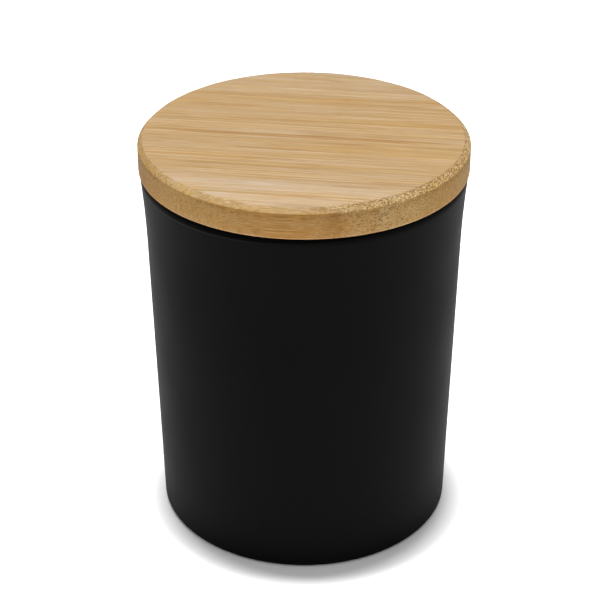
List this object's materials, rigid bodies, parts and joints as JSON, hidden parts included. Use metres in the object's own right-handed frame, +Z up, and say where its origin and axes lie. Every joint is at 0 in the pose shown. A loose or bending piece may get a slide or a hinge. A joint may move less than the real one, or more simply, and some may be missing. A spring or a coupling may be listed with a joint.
{
  "type": "candle tin",
  "caption": "Empty round candle vessel with a matte black coat, a thick floor and a push-in bamboo lid sealed by a finned silicone ring.",
  "frame": {"origin": "centre of the base, on the table", "axes": "+Z up along the vessel's axis, through the lid; the pieces are turned about Z, so X and Y are free"},
  "size_m": [0.08, 0.08, 0.1016],
  "materials": {
    "vessel": "opaque matte black coat outside, gloss black inside where the coat shows through the glass",
    "lid": "sanded laminated bamboo with a thin clear satin finish",
    "seal_ring": "translucent satin silicone"
  },
  "bodies": {
    "vessel_body": {"vessel": "vessel"},
    "seal_body": {"seal_ring": "seal_ring"},
    "lid_body": {"lid": "lid"}
  },
  "joints": [
    {"name": "lid_lift", "type": "slide", "parent": "vessel_body", "child": "seal_body", "axis": [0, 0, 1], "range_m": [0, 0.06]},
    {"name": "lid_turn", "type": "hinge", "parent": "seal_body", "child": "lid_body", "pos_m": [0, 0, 0.0978], "axis": [0, 0, 1], "continuous": true}
  ]
}
